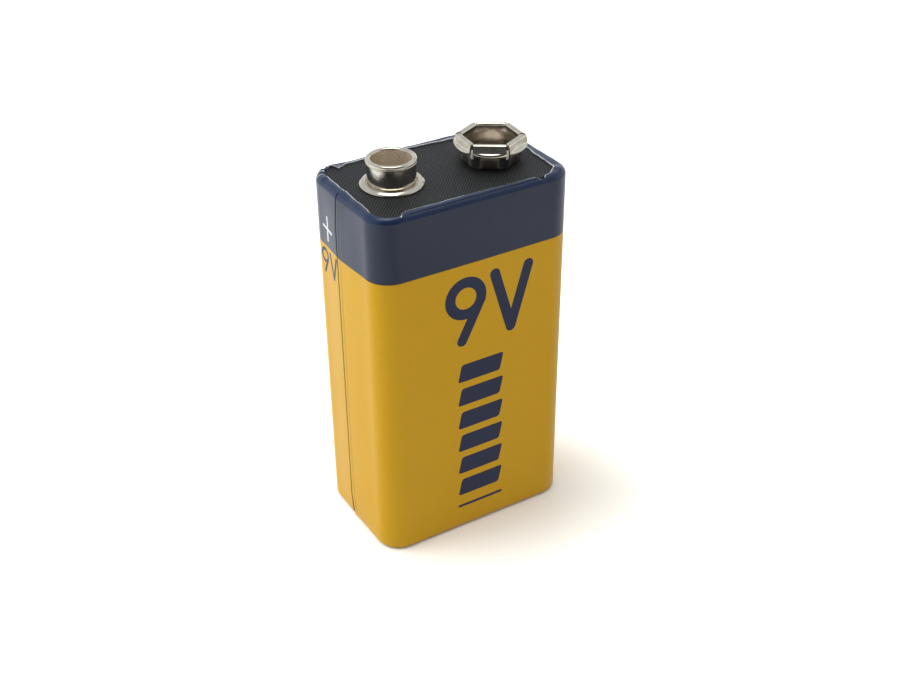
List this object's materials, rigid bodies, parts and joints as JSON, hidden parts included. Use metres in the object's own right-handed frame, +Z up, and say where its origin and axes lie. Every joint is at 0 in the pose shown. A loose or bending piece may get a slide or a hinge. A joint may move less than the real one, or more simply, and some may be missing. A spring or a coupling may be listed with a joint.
{
  "type": "nine volt battery",
  "caption": "Block battery in a printed tinplate jacket, with a round stud and a petalled socket riveted to a black board and six round cells inside.",
  "frame": {"origin": "middle of the underside of the jacket", "axes": "+X along the length from the positive stud to the negative socket, +Y across the width towards the face opposite the front, +Z up to the snaps"},
  "size_m": [0.0258, 0.0164, 0.0485],
  "materials": {
    "printed_tinplate": "gloss varnish over yellow and dark blue print",
    "black_fibre": "matte black fibre with fine slanting ribs",
    "black_plastic": "moulded, fine grain",
    "liner_card": "plain kraft",
    "grey_card": "pressed fibre",
    "snap_nickel": "bright nickel plating",
    "rivet_steel": "nickel plated steel",
    "strip_nickel": "rolled nickel strip",
    "cell_film": "thin shrunk film over a nickel plated steel can, bare at both ends"
  },
  "bodies": {
    "root": {"jacket": "printed_tinplate", "terminal_board": "black_fibre", "bottom_plate": "black_plastic", "pack_liner": "liner_card", "bottom_insulator": "grey_card", "top_insulator": "grey_card", "positive_stud": "snap_nickel", "negative_socket": "snap_nickel", "positive_rivet": "rivet_steel", "negative_rivet": "rivet_steel", "positive_lead": "strip_nickel", "negative_lead": "strip_nickel", "cell_1": "cell_film", "cell_2": "cell_film", "cell_3": "cell_film", "cell_4": "cell_film", "cell_5": "cell_film", "cell_6": "cell_film", "bottom_strap_1": "strip_nickel", "bottom_strap_2": "strip_nickel", "bottom_strap_3": "strip_nickel", "top_strap_1": "strip_nickel", "top_strap_2": "strip_nickel"}
  },
  "joints": []
}
